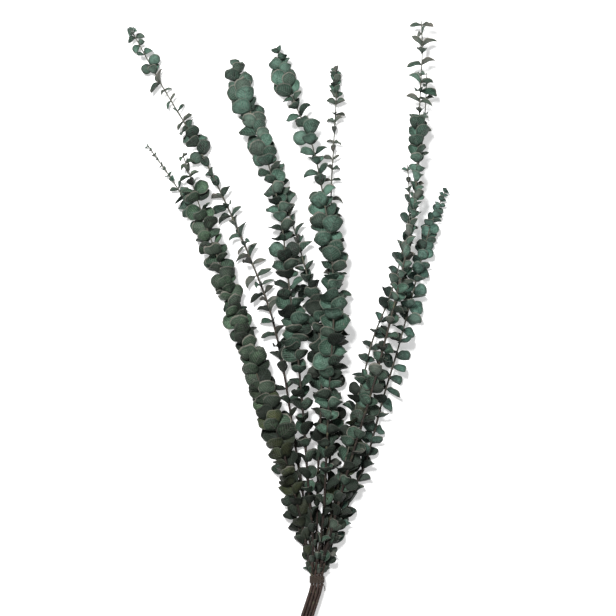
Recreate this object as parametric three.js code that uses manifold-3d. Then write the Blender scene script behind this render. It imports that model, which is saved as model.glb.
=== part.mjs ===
// A bunch of preserved round-leaf eucalyptus: twelve leafy stems, held by one tie near their cut
// ends, lying on a table. Millimetres. +X is to the right, +Y runs from the cut ends to the tips
// and +Z is up from the table.
import * as THREE from 'three';
import { mergeVertices } from 'three/addons/utils/BufferGeometryUtils.js';
import Module from 'manifold-3d';

const wasm = await Module();
wasm.setup();

// Driving dimensions.
const bladeThickness = 0.8;
const nodeGap = 0.32; // least gap between two leafy stems
const bladeGap = 0.12; // least gap between two blades of one stem
const smallLeaf = 23; // leaves under this length get a six-cornered outline, the others eight
const slotPitch = 3.95; // stems side by side and above each other where they are tied
const slotColumns = 4;
const slotRows = 3;
const stemRadiusAtTie = 1.7;
const stemRadiusAtTip = 0.8;
const tieLength = 9;
const tieWall = 1.2;
const tieFit = 0.35; // between the tie and the stems it holds
const tieCornerSteps = 2;
const tieTail = { length: 13, width: 1.6, thickness: 1.1, turn: 0.25, start: 0.5, sunk: 0.3 };
const tieColour = 0x6b5f52;
const leafRoughness = 0.85;
const tieRoughness = 0.9;
const pressReach = 0.9; // corners this near the table lie on it
const endPressReach = 4; // the outer end of a leaf that touches the table lies on it from here down
const deepestPress = 3.5; // how far a leaf that is pressed flat would reach under the table
const rootDepth = 0.55; // how far a blade's root is sunk in its stem
const leastRootRadius = 0.25; // which keeps the two roots of a pair apart in a thin stem
const builtEvery = 3; // one pair in three is built, which keeps the quarter turn between them
const tipPairs = 4; // pairs at the tip that are all built
const firstLeafAboveTie = 8;
const firstLeafSpread = 6;
const stemSides = 4;
const longestPiece = 72; // of a stem between two knots
const leanBelowTie = 0.27; // sideways for each millimetre down
const tieReach = 0.6; // of the tie's length, up and down from its middle, where stems run straight

// How one leaf differs from the next: a middle value and the reach to each side of it.
const vary = {
  spread: 14, // degrees
  spreadByFold: 0.3, // degrees more for each degree of fold
  turn: 0.5, // radians round the stem
  internode: 0.22,
  length: 0.15,
  width: 0.08,
  facing: 0.25,
  side: 0.25,
  fold: 0.25,
  lean: 0.3, // radians round the leaf's own length
};
const widthOfLeaf = 1.12; // as a part of its length, where it isn't folded
const narrowByFold = 0.006; // of the width, for each degree of fold
const bendOfLeaf = [0.2, 0.15]; // rise of the tip, as a part of the length
const droopByFold = 0.007; // less rise for each degree of fold
const sagBelow = 45; // degrees further from the tip that leaves hang on a leaning stem's lower side
const sagByFold = 1; // and more for each degree of fold
const cupOfLeaf = [0.16, 0.12]; // rise of the edges, as a part of the half width
const mostTwist = 0.55; // how much of the way to level a leaf is twisted where facing is 1
const levelEnough = 0.5; // upward part of the face of a leaf that may be pressed flat on the table

// Attitudes tried in turn for a leaf: swung round its stem, tucked along it and laid level.
const swings = [0, 0.6, -0.6, 1.2, -1.2, 2, -2, 2.8]; // radians
const tucks = [1, 0.5]; // of the angle off the stem
const flats = [0, 0.3, 0.6, 1]; // of the way to level

// Each stem: its place in the tie (column, row), how far its cut end reaches below the tie, its
// route from the tie to the tip (x, y, z), and its foliage. A foliage entry holds the distance
// above the tie, the leaf's length there, the angle in degrees at which leaves stand off the stem,
// how far they turn their faces up, from 0 to 1, the distance to the next pair, and how far the
// halves of a leaf fold toward each other, in degrees, which makes it narrow.
const stemPlans = [
  {
    name: 'leafy_stem_01', slot: [1, 0], cut: 50, colour: 0x3d5a4b,
    route: [[-9, 48, 5], [-16, 96, 7], [-29, 180, 9], [-40, 250, 10], [-55, 318, 10],
      [-77, 378, 10], [-109, 451, 10], [-145, 524, 10], [-187, 595, 10], [-223, 660, 9]],
    foliage: [[18, 12, 12, 0.3, 19, 42], [60, 15, 20, 0.4, 18, 40], [100, 15, 30, 0.4, 18, 40],
      [200, 15, 50, 0.4, 18, 40], [240, 15, 55, 0.5, 17, 30], [270, 16, 60, 0.2, 15, 55],
      [330, 17, 65, 0.2, 13, 60], [420, 17, 65, 0.2, 13, 60], [452, 18, 58, 0.3, 14, 42],
      [475, 14, 35, 0.4, 13, 42], [495, 13, 40, 0.5, 13, 35], [506, 17, 52, 0.9, 12, 8],
      [532, 17, 52, 0.9, 12, 5], [545, 15, 62, 0.2, 14, 50], [565, 12, 72, 0.1, 14, 62],
      [590, 12, 72, 0.1, 14, 60], [600, 16, 35, 0.4, 14, 48], [618, 14, 62, 0.9, 14, 10],
      [636, 11, 78, 0.9, 10, 25], [650, 10, 88, 0.9, 6, 28], [657, 10, 80, 0.8, 5, 30]],
  },
  {
    name: 'leafy_stem_02', slot: [0, 0], cut: 47, colour: 0x3f5c4d,
    route: [[-18, 48, 5], [-29, 84, 7], [-48, 168, 10], [-69, 240, 10], [-93, 312, 10],
      [-118, 372, 10], [-143, 430, 9], [-174, 480, 7], [-205, 524, 5]],
    foliage: [[18, 12, 8, 0.4, 18, 32], [60, 16, 14, 0.6, 15, 20], [120, 16, 38, 0.6, 15, 15],
      [200, 17, 46, 0.5, 14, 10], [300, 16, 46, 0.5, 13, 10], [360, 13, 50, 0.4, 12, 25],
      [410, 14, 50, 0.6, 12, 20], [455, 14, 52, 0.8, 11, 10], [475, 8.5, 45, 0.4, 9, 30],
      [500, 4.5, 40, 0.3, 7, 40], [522, 4.5, 30, 0.3, 7, 40]],
  },
  {
    name: 'leafy_stem_03', slot: [0, 1], cut: 53, colour: 0x456149,
    route: [[-14, 48, 10], [-28, 108, 16], [-50, 186, 22], [-73, 250, 23], [-94, 314, 23],
      [-116, 378, 22], [-136, 434, 20], [-154, 490, 17], [-161, 510, 16]],
    foliage: [[18, 12, 8, 0.4, 19, 32], [60, 17, 16, 0.6, 14, 18], [110, 17, 36, 0.7, 12, 10],
      [150, 22.5, 42, 0.9, 11, 0], [185, 20, 42, 0.8, 9, 5], [250, 19.5, 42, 0.8, 9, 5],
      [330, 18, 44, 0.7, 9, 8], [400, 17.5, 50, 0.5, 11, 10], [430, 16, 60, 0.6, 11, 10],
      [455, 17.5, 60, 0.7, 11, 10], [475, 14, 70, 0.3, 10, 35], [490, 12, 78, 0.2, 9, 45],
      [510, 8.5, 78, 0.2, 8, 50]],
  },
  {
    name: 'leafy_stem_04', slot: [0, 2], cut: 49, colour: 0x3c5b4e,
    route: [[-5, 48, 13], [-11, 120, 19], [-17, 204, 22], [-25, 288, 22], [-35, 366, 23],
      [-44, 438, 23], [-58, 498, 22], [-76, 552, 18], [-94, 598, 14], [-97, 615, 13]],
    foliage: [[18, 12, 12, 0.4, 19, 40], [60, 15, 18, 0.4, 17, 38], [100, 16, 34, 0.4, 17, 25],
      [160, 16.5, 48, 0.5, 17, 20], [230, 18.5, 52, 0.6, 14, 12], [280, 20, 54, 0.7, 11, 5],
      [350, 20, 54, 0.7, 10, 5], [390, 17, 56, 0.6, 12, 12], [450, 17, 58, 0.6, 12, 15],
      [480, 17, 54, 0.6, 11, 12], [500, 19, 42, 0.8, 8.5, 5], [560, 20, 42, 0.9, 8.5, 5],
      [590, 19, 44, 0.9, 9, 5], [608, 15, 56, 0.7, 9, 15], [622, 12, 60, 0.7, 8, 20]],
  },
  {
    name: 'leafy_stem_05', slot: [1, 1], cut: 55, colour: 0x40604f,
    route: [[0, 72, 8], [2, 150, 10], [5, 216, 11], [5, 270, 11], [-2, 324, 11], [-20, 396, 11],
      [-40, 462, 10], [-49, 498, 9]],
    foliage: [[18, 12, 12, 0.4, 19, 42], [60, 15, 18, 0.4, 18, 38], [100, 16, 34, 0.4, 19, 25],
      [160, 16.5, 48, 0.5, 18, 20], [230, 18.5, 54, 0.6, 15, 15], [290, 19.5, 58, 0.7, 11, 12],
      [345, 19, 58, 0.6, 11, 15], [365, 17, 55, 0.3, 12, 45], [420, 16, 60, 0.3, 12, 58],
      [460, 16, 58, 0.5, 12, 30], [495, 12, 50, 0.6, 8, 20]],
  },
  {
    name: 'leafy_stem_06', slot: [1, 2], cut: 51, colour: 0x3b594c,
    route: [[7, 72, 21], [12, 168, 28], [16, 252, 30], [20, 324, 30], [17, 396, 29], [6, 468, 27],
      [-6, 522, 24], [-24, 566, 20], [-41, 612, 15], [-47, 636, 13]],
    foliage: [[18, 12, 12, 0.4, 18, 40], [60, 15, 18, 0.4, 16, 38], [100, 17, 34, 0.5, 17, 22],
      [160, 17.5, 48, 0.6, 16, 15], [230, 18.5, 52, 0.7, 14, 10], [300, 21, 46, 0.8, 11, 5],
      [400, 20.5, 46, 0.8, 11, 5], [440, 20.5, 46, 0.8, 11, 5], [470, 16, 60, 0.4, 12, 35],
      [490, 17.5, 58, 0.5, 12, 20], [520, 17.5, 60, 0.5, 12, 15], [550, 19.5, 52, 0.8, 11, 5],
      [565, 15, 65, 0.3, 9, 35], [575, 13, 60, 0.3, 8, 35], [582, 20, 42, 0.9, 8.5, 5],
      [610, 16, 42, 0.9, 8, 8], [622, 12, 46, 0.8, 8, 15], [636, 8, 50, 0.6, 7, 25]],
  },
  {
    name: 'leafy_stem_07', slot: [2, 0], cut: 46, colour: 0x44614f,
    route: [[12, 84, 7], [17, 180, 10], [20, 252, 12], [25, 312, 12], [22, 384, 11], [17, 450, 10],
      [20, 522, 9], [23, 582, 9], [22, 612, 8]],
    foliage: [[18, 12, 12, 0.3, 20, 45], [80, 15, 24, 0.3, 17, 40], [160, 16, 45, 0.4, 18, 30],
      [250, 17, 52, 0.5, 16, 20], [330, 16, 58, 0.4, 14, 35], [420, 12, 70, 0.3, 11, 50],
      [480, 11, 75, 0.3, 11, 50], [560, 11, 70, 0.4, 11, 50], [575, 11.5, 50, 0.6, 8, 20],
      [600, 10.5, 45, 0.7, 6, 20], [612, 7, 40, 0.7, 6, 25]],
  },
  {
    name: 'leafy_stem_08', slot: [2, 1], cut: 54, colour: 0x46644f,
    route: [[11, 48, 13], [24, 108, 20], [38, 160, 25], [49, 222, 25], [56, 242, 24]],
    foliage: [[18, 12, 12, 0.4, 19, 42], [60, 15, 20, 0.4, 18, 36], [100, 16, 40, 0.5, 17, 20],
      [150, 17, 50, 0.7, 15, 10], [220, 17, 55, 0.7, 12, 10], [242, 11, 50, 0.6, 8, 15]],
  },
  {
    name: 'leafy_stem_09', slot: [3, 1], cut: 48, colour: 0x48685a,
    route: [[12.5, 48, 7], [24, 96, 9], [40, 168, 11], [54, 234, 11], [67, 288, 11], [88, 342, 11],
      [103, 396, 10], [111, 440, 9], [109, 498, 8]],
    foliage: [[18, 12, 12, 0.4, 20, 45], [80, 15, 14, 0.4, 18, 38], [130, 14, 40, 0.5, 20, 25],
      [230, 14, 62, 0.5, 19, 20], [300, 14, 62, 0.5, 17, 20], [370, 15, 46, 0.7, 13, 20],
      [395, 15, 26, 0.4, 12, 42], [440, 13, 24, 0.3, 12, 45], [470, 9, 45, 0.4, 12, 40],
      [498, 8, 45, 0.4, 10, 40]],
  },
  {
    name: 'leafy_stem_10', slot: [3, 2], cut: 52, colour: 0x41604f,
    route: [[16.5, 48, 12], [34, 108, 15], [55, 192, 20], [68, 242, 21], [85, 300, 21],
      [103, 360, 21], [113, 420, 20], [119, 480, 19], [128, 540, 17], [132, 607, 14]],
    foliage: [[18, 12, 12, 0.4, 20, 42], [80, 15, 14, 0.4, 18, 36], [130, 15, 42, 0.5, 19, 22],
      [240, 14, 54, 0.5, 19, 20], [300, 14, 50, 0.4, 16, 30], [350, 15, 26, 0.3, 14, 42],
      [400, 13, 24, 0.3, 14, 45], [440, 11, 40, 0.3, 15, 48], [480, 9, 50, 0.3, 17, 50],
      [540, 11, 70, 0.3, 17, 50], [607, 9, 80, 0.2, 14, 52]],
  },
  {
    name: 'leafy_stem_11', slot: [2, 2], cut: 56, colour: 0x3d5b4d,
    route: [[14, 48, 18], [30, 108, 24], [49, 174, 31], [66, 230, 33], [89, 318, 33],
      [104, 382, 32], [115, 438, 31], [120, 504, 29], [123, 575, 26], [126, 640, 22], [125, 670, 20]],
    foliage: [[18, 12, 12, 0.4, 19, 40], [60, 14, 12, 0.4, 18, 38], [100, 15, 28, 0.4, 19, 24],
      [160, 15, 50, 0.5, 19, 20], [230, 15, 54, 0.6, 17, 15], [300, 14, 54, 0.6, 15, 20],
      [360, 14, 34, 0.5, 13, 35], [400, 14, 25, 0.4, 11, 44], [440, 14, 32, 0.5, 11, 35],
      [475, 14, 40, 0.5, 11, 30], [500, 15, 42, 0.7, 10, 15], [520, 16, 45, 0.8, 9, 10],
      [540, 16, 50, 0.7, 9, 12], [552, 14, 70, 0.2, 13, 50], [585, 19, 74, 0.4, 10, 48],
      [600, 15, 75, 0.2, 13, 55], [625, 16, 84, 0.1, 12, 60], [655, 16, 86, 0.1, 11, 60],
      [676, 11, 80, 0.1, 9, 60]],
  },
  {
    name: 'leafy_stem_12', slot: [3, 0], cut: 50, colour: 0x4a6b57,
    route: [[20, 48, 5], [37, 90, 7], [61, 150, 10], [79, 216, 10], [97, 276, 10], [113, 336, 10],
      [127, 390, 9], [139, 432, 8], [155, 468, 6]],
    foliage: [[18, 14, 4, 0.3, 18, 45], [60, 17, 2, 0.3, 16, 45], [120, 17, 8, 0.3, 15, 42],
      [155, 16, 50, 0.6, 16, 18], [220, 17, 74, 0.6, 16, 15], [290, 17.5, 80, 0.7, 14, 12],
      [335, 16.5, 66, 0.7, 11, 12], [360, 15, 42, 0.8, 8, 10], [395, 14, 40, 0.8, 7, 10],
      [420, 12, 40, 0.8, 6.5, 10], [442, 9, 42, 0.7, 6, 15], [465, 6, 50, 0.6, 6, 20]],
  },
];

// What each random draw is for; every draw is named by its stem, pair, side and use.
const draw = {
  firstLeaf: 1, turn: 2, step: 3, spread: 4, side: 5, facing: 6, length: 7, width: 8, bend: 9, cup: 10,
  fold: 11, lean: 12,
};

const up = new THREE.Vector3(0, 0, 1);

// A repeatable random number from 0 to 1, from the whole numbers that name one leaf.
function chance(...keys) {
  let hash = 2166136261;
  for (const key of keys) {
    hash = Math.imul(hash ^ key, 16777619);
    hash = Math.imul(hash ^ (hash >>> 15), 2246822519);
    hash ^= hash >>> 13;
  }
  return (hash >>> 0) / 4294967296;
}

const around = (centre, reach, roll) => centre + reach * (2 * roll - 1);

// A closed geometry as a solid that can be joined, and back.
function solidOf(geometry) {
  const bare = geometry.clone();
  bare.deleteAttribute('normal');
  bare.deleteAttribute('uv');
  const merged = mergeVertices(bare, 1e-4);
  return new wasm.Manifold(new wasm.Mesh({
    numProp: 3,
    vertProperties: new Float32Array(merged.attributes.position.array),
    triVerts: new Uint32Array(merged.index.array),
  }));
}

function geometryOf(solid) {
  const mesh = solid.getMesh();
  const geometry = new THREE.BufferGeometry();
  geometry.setAttribute('position', new THREE.BufferAttribute(mesh.vertProperties, 3));
  geometry.setIndex(new THREE.BufferAttribute(mesh.triVerts, 1));
  return geometry;
}

// The bundle where it is tied.
const slotX = (column) => (column - (slotColumns - 1) / 2) * slotPitch;
const slotZ = (row) => tieWall + tieFit + stemRadiusAtTie + row * slotPitch;

// A stem's run: straight pieces between knots on a smooth curve through its route.
function stemRun(plan) {
  const x = slotX(plan.slot[0]);
  const z = slotZ(plan.slot[1]);
  const points = [
    [x - leanBelowTie * plan.cut, -plan.cut, z],
    [x, -tieLength * tieReach, z],
    [x, tieLength * tieReach, z],
    ...plan.route,
  ].map((point) => new THREE.Vector3(...point));
  const curve = new THREE.CatmullRomCurve3(points, false, 'centripetal');
  const stretches = points.length - 1;
  const places = [];
  for (let i = 0; i < stretches; i += 1) {
    const pieces = Math.ceil(points[i].distanceTo(points[i + 1]) / longestPiece);
    for (let k = 0; k < pieces; k += 1) places.push((i + k / pieces) / stretches);
  }
  places.push(1);
  let distance = 0;
  const knots = places.map((place) => ({ centre: curve.getPoint(place), along: curve.getTangent(place) }));
  knots.forEach((knot, i) => {
    if (i > 0) distance += knot.centre.distanceTo(knots[i - 1].centre);
    knot.distance = distance;
  });
  return { knots, length: distance };
}

function frameOf(centre, along, run, distance) {
  const right = new THREE.Vector3().crossVectors(along, up).normalize();
  const top = new THREE.Vector3().crossVectors(right, along);
  const radius = THREE.MathUtils.lerp(stemRadiusAtTie, stemRadiusAtTip, distance / run.length);
  return { centre, along, right, top, radius };
}

// The frame of a stem at one place: its centre, the way it runs, its right and its upper side.
function stemFrame(run, distance) {
  const next = run.knots.findIndex((knot, i) => i > 0 && knot.distance >= distance);
  const [low, high] = [run.knots[next - 1], run.knots[next]];
  const mix = (distance - low.distance) / (high.distance - low.distance);
  const along = low.along.clone().lerp(high.along, mix).normalize();
  return frameOf(low.centre.clone().lerp(high.centre, mix), along, run, distance);
}

// A closed cylinder whose rings are moved onto the knots.
function stemSolid(run) {
  const pieces = run.knots.length - 1;
  const geometry = new THREE.CylinderGeometry(1, 1, 1, stemSides, pieces);
  const position = geometry.attributes.position;
  for (let i = 0; i < position.count; i += 1) {
    const knot = run.knots[Math.round((position.getY(i) + 0.5) * pieces)];
    const { centre, right, top, radius } = frameOf(knot.centre, knot.along, run, knot.distance);
    const moved = centre.clone()
      .addScaledVector(right, position.getX(i) * radius)
      .addScaledVector(top, position.getZ(i) * radius);
    position.setXYZ(i, moved.x, moved.y, moved.z);
  }
  return solidOf(geometry);
}

// Foliage at a distance above the tie, between the entries of the plan.
function foliageAt(plan, y) {
  const { foliage } = plan;
  const next = foliage.findIndex((entry) => entry[0] > y);
  if (next === 0) return foliage[0].slice(1);
  if (next < 0) return foliage[foliage.length - 1].slice(1);
  const [low, high] = [foliage[next - 1], foliage[next]];
  const mix = (y - low[0]) / (high[0] - low[0]);
  return low.slice(1).map((value, i) => THREE.MathUtils.lerp(value, high[i + 1], mix));
}

// The places of the leaf pairs, from the tie to the tip, a quarter turn from each to the next.
function leafPairs(plan, run, stemNumber) {
  const { length } = run;
  const pairs = [];
  let distance = plan.cut + firstLeafAboveTie + firstLeafSpread * chance(stemNumber, draw.firstLeaf);
  while (distance < length) {
    const frame = stemFrame(run, distance);
    const [size, spread, facing, internode, fold] = foliageAt(plan, frame.centre.y);
    const number = pairs.length;
    pairs.push({
      ...frame, size, spread, facing, fold, number,
      turn: Math.PI / 2 * (number % 4)
        + around(Math.PI / 4 * facing, vary.turn, chance(stemNumber, number, draw.turn)),
    });
    distance += internode * around(1, vary.internode, chance(stemNumber, number, draw.step));
  }
  return pairs;
}

// Where one leaf points and faces. It bends from its root toward the tip of the stem, like a spoon.
// With flat at 1 it lies level, to one side of its stem; swing turns it round its stem.
function leafFrame(pair, stemNumber, side, { swing, tuck, flat }) {
  const roll = (key) => chance(stemNumber, pair.number, side, key);
  const turn = pair.turn + side * Math.PI + swing;
  const radial = new THREE.Vector3()
    .addScaledVector(pair.right, Math.cos(turn))
    .addScaledVector(pair.top, Math.sin(turn));
  const sideways = pair.right.clone().multiplyScalar(Math.cos(turn) < 0 ? -1 : 1);
  radial.lerp(sideways, flat).normalize();
  const bend = (around(...bendOfLeaf, roll(draw.bend)) - droopByFold * pair.fold) * (1 - flat);
  const spreadReach = vary.spread + vary.spreadByFold * pair.fold;
  const sag = (sagBelow + sagByFold * pair.fold) * Math.max(0, -radial.y);
  const chordAngle = around(pair.spread * tuck, spreadReach, roll(draw.spread)) + sag;
  const spread = THREE.MathUtils.degToRad(chordAngle) + Math.atan(bend);
  const along = new THREE.Vector3()
    .addScaledVector(pair.along, Math.cos(spread))
    .addScaledVector(radial, Math.sin(spread));
  const face = new THREE.Vector3()
    .addScaledVector(pair.along, Math.sin(spread))
    .addScaledVector(radial, -Math.cos(spread));
  const level = up.clone().addScaledVector(along, -along.z).normalize();
  const toward = face.dot(level) + around(0, vary.side, roll(draw.side)) < 0 ? -1 : 1;
  const twist = mostTwist * Math.max(0, around(pair.facing, vary.facing, roll(draw.facing)));
  face.lerp(level.multiplyScalar(toward), THREE.MathUtils.lerp(twist, 1, flat)).normalize();
  face.applyAxisAngle(along, around(0, vary.lean, roll(draw.lean)) * (1 - flat));
  const across = new THREE.Vector3().crossVectors(face, along).normalize();
  face.crossVectors(along, across);
  const length = pair.size * around(1, vary.length, roll(draw.length));
  const fold = THREE.MathUtils.degToRad(pair.fold * around(1, vary.fold, roll(draw.fold)));
  const width = length * around(widthOfLeaf, vary.width, roll(draw.width)) * (1 - narrowByFold * pair.fold);
  const inside = Math.max(pair.radius - rootDepth, leastRootRadius);
  return {
    root: pair.centre.clone().addScaledVector(radial, inside),
    along, across, face, length, bend,
    width: width * Math.cos(fold),
    cup: around(...cupOfLeaf, roll(draw.cup)),
  };
}

// One side of a round blade's outline, from its root to its tip, in parts of its length and width.
const roundSide = [[0.27, 0.38], [0.62, 0.5], [0.92, 0.27]];
const smallSide = [[0.34, 0.45], [0.8, 0.4]];

// The corners of a thin cupped blade, each as its upper and its lower point.
function bladeCorners(leaf) {
  const half = leaf.face.clone().multiplyScalar(bladeThickness / 2);
  const side = leaf.length < smallLeaf ? smallSide : roundSide;
  const right = side.map(([u, v]) => [u, -v]);
  const left = [...side].reverse();
  return [[0, 0], ...right, [1, 0], ...left].map(([u, v]) => {
    const lift = leaf.cup * leaf.width * 2 * v * v + leaf.bend * leaf.length * u * u;
    const middle = leaf.root.clone()
      .addScaledVector(leaf.along, u * leaf.length)
      .addScaledVector(leaf.across, v * leaf.width)
      .addScaledVector(leaf.face, lift);
    return [middle.clone().add(half), middle.clone().sub(half)];
  });
}

// Corners that reach the table are pressed flat on it, at the blade's full thickness. The tip and
// the corners beside it go down together, so that a leaf lies on its end.
function pressed(corners) {
  const heights = corners.map(([one, other]) => Math.min(one.z, other.z));
  const tip = corners.length / 2;
  const end = heights.slice(tip - 1, tip + 2);
  const liesOnEnd = Math.min(...end) < pressReach && Math.max(...end) < endPressReach;
  return corners.map(([one, other], i) => {
    const isDown = heights[i] < pressReach || (liesOnEnd && Math.abs(i - tip) <= 1);
    if (!isDown) return [one, other];
    const middle = one.clone().add(other).multiplyScalar(0.5);
    const high = middle.clone().setZ(bladeThickness);
    const low = middle.clone().setZ(0);
    return one.z > other.z ? [high, low] : [low, high];
  });
}

function lowestOf(corners) {
  return Math.min(...corners.flat().map((corner) => corner.z));
}

// A closed blade: bands across it from root to tip, above and below, and its edge.
function bladeSolid(corners) {
  const count = corners.length;
  const tip = count / 2;
  const face = [[0, 1, count - 1], [tip - 1, tip, tip + 1]];
  for (let i = 1; i < tip - 1; i += 1) {
    face.push([i, i + 1, count - i - 1], [i, count - i - 1, count - i]);
  }
  const triangles = [];
  for (const [a, b, c] of face) {
    triangles.push(a, b, c);
    triangles.push(a + count, c + count, b + count);
  }
  for (let i = 0; i < count; i += 1) {
    const next = (i + 1) % count;
    triangles.push(i, i + count, next + count);
    triangles.push(i, next + count, next);
  }
  const points = [...corners.map((pair) => pair[0]), ...corners.map((pair) => pair[1])];
  return new wasm.Manifold(new wasm.Mesh({
    numProp: 3,
    vertProperties: new Float32Array(points.flatMap((point) => point.toArray())),
    triVerts: new Uint32Array(triangles),
  }));
}

// Solids that are already placed, with their boxes, so that only near ones are measured.
const placed = [];

function place(solid, owner, isBareStem = false) {
  placed.push({ solid, owner, isBareStem, box: solid.boundingBox() });
}

function isClear(solid, owner) {
  const box = solid.boundingBox();
  return placed.every((other) => {
    if (other.isBareStem && other.owner === owner) return true;
    const gap = other.owner === owner ? bladeGap : nodeGap;
    const apart = [0, 1, 2].some((axis) => box.min[axis] > other.box.max[axis] + gap
      || other.box.min[axis] > box.max[axis] + gap);
    return apart || other.solid.minGap(solid, gap) >= gap;
  });
}

const attitudes = swings.flatMap((swing) => (
  tucks.flatMap((tuck) => flats.map((flat) => ({ swing, tuck, flat })))));

function placeBlade(pair, stemNumber, side) {
  for (const attitude of attitudes) {
    const leaf = leafFrame(pair, stemNumber, side, attitude);
    const corners = bladeCorners(leaf);
    const lowest = lowestOf(corners);
    const liesFlat = lowest > -deepestPress && Math.abs(leaf.face.z) > levelEnough;
    if (lowest >= pressReach || liesFlat) {
      const blade = bladeSolid(pressed(corners));
      if (isClear(blade, stemNumber)) {
        place(blade, stemNumber);
        return blade;
      }
    }
  }
  return null;
}

// Every pair would be too fine a solid, so one pair in three is built, and all at the tip.
function isBuilt(pair, pairs) {
  return pair.number % builtEvery === 0 || pair.number >= pairs.length - tipPairs;
}

const runs = stemPlans.map(stemRun);
const bareStems = runs.map(stemSolid);
bareStems.forEach((solid, stemNumber) => place(solid, stemNumber, true));

function leafyStem(plan, stemNumber) {
  const pairs = leafPairs(plan, runs[stemNumber], stemNumber);
  let body = bareStems[stemNumber];
  for (const pair of pairs.filter((candidate) => isBuilt(candidate, pairs))) {
    for (const side of [0, 1]) {
      const blade = placeBlade(pair, stemNumber, side);
      if (blade) body = body.add(blade);
    }
  }
  return body;
}

// The tie: a closed band round the whole bundle, with rounded corners and one loose end.
function roundedOutline(path, halfWidth, halfHeight, corner) {
  const corners = [[1, 1, 0], [-1, 1, 1], [-1, -1, 2], [1, -1, 3]];
  for (const [x, y, quarter] of corners) {
    const start = quarter * Math.PI / 2;
    path.absarc(x * (halfWidth - corner), y * (halfHeight - corner), corner, start, start + Math.PI / 2);
  }
  path.closePath();
  return path;
}

function tieSolid() {
  const halfWidth = slotPitch * (slotColumns - 1) / 2 + stemRadiusAtTie + tieFit;
  const halfHeight = slotPitch * (slotRows - 1) / 2 + stemRadiusAtTie + tieFit;
  const inner = stemRadiusAtTie + tieFit;
  const outline = roundedOutline(
    new THREE.Shape(), halfWidth + tieWall, halfHeight + tieWall, inner + tieWall);
  outline.holes.push(roundedOutline(new THREE.Path(), halfWidth, halfHeight, inner));
  const band = new THREE.ExtrudeGeometry(outline, {
    depth: tieLength, bevelEnabled: false, curveSegments: tieCornerSteps,
  });
  band.translate(0, 0, -tieLength / 2);
  band.rotateX(Math.PI / 2);
  band.translate(0, 0, halfHeight + tieWall);
  const tail = new THREE.BoxGeometry(tieTail.width, tieTail.length, tieTail.thickness);
  tail.rotateZ(tieTail.turn);
  const tieTop = 2 * (halfHeight + tieWall);
  tail.translate(halfWidth, -tieTail.length * tieTail.start, tieTop - tieTail.thickness * tieTail.sunk);
  return solidOf(band).add(solidOf(tail));
}

const bunch = new THREE.Group();

function addMesh(name, solid, colour, roughness) {
  const material = new THREE.MeshStandardMaterial({ color: colour, roughness, metalness: 0 });
  const mesh = new THREE.Mesh(geometryOf(solid), material);
  mesh.name = name;
  bunch.add(mesh);
}

stemPlans.forEach((plan, stemNumber) => {
  addMesh(plan.name, leafyStem(plan, stemNumber), plan.colour, leafRoughness);
});
addMesh('tie_band', tieSolid(), tieColour, tieRoughness);

// The origin is under the middle of the whole bunch, on the table.
const box = new THREE.Box3().setFromObject(bunch);
const middle = box.getCenter(new THREE.Vector3());
bunch.position.set(-middle.x, -middle.y, -box.min.z);

export default bunch;
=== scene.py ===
"""A tied bunch of preserved round-leaf eucalyptus that lies on a pale floor, seen from above.

Leaves are placed by the same rule as the solids' leaves, in crossed pairs along each stem, but here
every pair is grown. Lengths in the rule are millimetres from the middle of the tie, with +Y toward
the tips and +Z up. They become metres in the model's frame when a mesh is made.
"""
import math

import bpy
import numpy as np
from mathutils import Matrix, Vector


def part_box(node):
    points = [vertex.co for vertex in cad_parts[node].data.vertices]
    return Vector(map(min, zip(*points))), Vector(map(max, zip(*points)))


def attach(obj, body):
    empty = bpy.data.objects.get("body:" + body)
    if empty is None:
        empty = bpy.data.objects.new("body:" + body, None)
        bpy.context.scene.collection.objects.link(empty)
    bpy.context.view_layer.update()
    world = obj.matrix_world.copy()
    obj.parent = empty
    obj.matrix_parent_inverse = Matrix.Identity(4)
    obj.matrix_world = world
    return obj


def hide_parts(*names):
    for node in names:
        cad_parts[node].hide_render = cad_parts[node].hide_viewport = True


MM = 0.001
UP = np.array([0.0, 0.0, 1.0])

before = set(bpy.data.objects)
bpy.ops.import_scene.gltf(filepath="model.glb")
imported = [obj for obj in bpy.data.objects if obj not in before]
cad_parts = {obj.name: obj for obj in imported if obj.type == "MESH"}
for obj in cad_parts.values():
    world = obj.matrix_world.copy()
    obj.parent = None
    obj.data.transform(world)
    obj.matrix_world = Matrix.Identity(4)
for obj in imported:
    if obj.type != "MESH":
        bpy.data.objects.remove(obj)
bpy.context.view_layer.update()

# Sizes that the solids have too.
SLOT_PITCH, SLOT_COLUMNS, SLOT_ROWS = 3.95, 4, 3
RADIUS_AT_TIE, RADIUS_AT_TIP = 1.7, 0.8
TIE_LENGTH, TIE_WALL, TIE_FIT = 9.0, 1.2, 0.35
TIE_REACH = 0.6
FIRST_LEAF, FIRST_LEAF_SPREAD = 8.0, 6.0
LONGEST_PIECE = 72.0
LEAN_BELOW_TIE = 0.27
HALF_SOLID_BLADE = 0.4
PRESS_REACH, DEEPEST_PRESS, LEVEL_ENOUGH = 0.9, 3.5, 0.5
ROOT_DEPTH, LEAST_ROOT_RADIUS = 0.55, 0.25
BUILT_EVERY, TIP_PAIRS = 3, 4
VARY = {"spread": 14, "spread_by_fold": 0.3, "turn": 0.5, "internode": 0.22, "length": 0.15,
        "width": 0.08, "facing": 0.25, "side": 0.25, "fold": 0.25, "lean": 0.3}
WIDTH, NARROW_BY_FOLD, BEND, DROOP_BY_FOLD = 1.12, 0.006, (0.2, 0.15), 0.007
SAG_BELOW, SAG_BY_FOLD, CUP, MOST_TWIST = 45, 1, (0.16, 0.12), 0.55
DRAW = {name: i + 1 for i, name in enumerate(
    ["first", "turn", "step", "spread", "side", "facing", "length", "width", "bend", "cup",
     "fold", "lean", "shade", "olive", "mauve", "wave", "point", "round", "curl"])}
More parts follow.
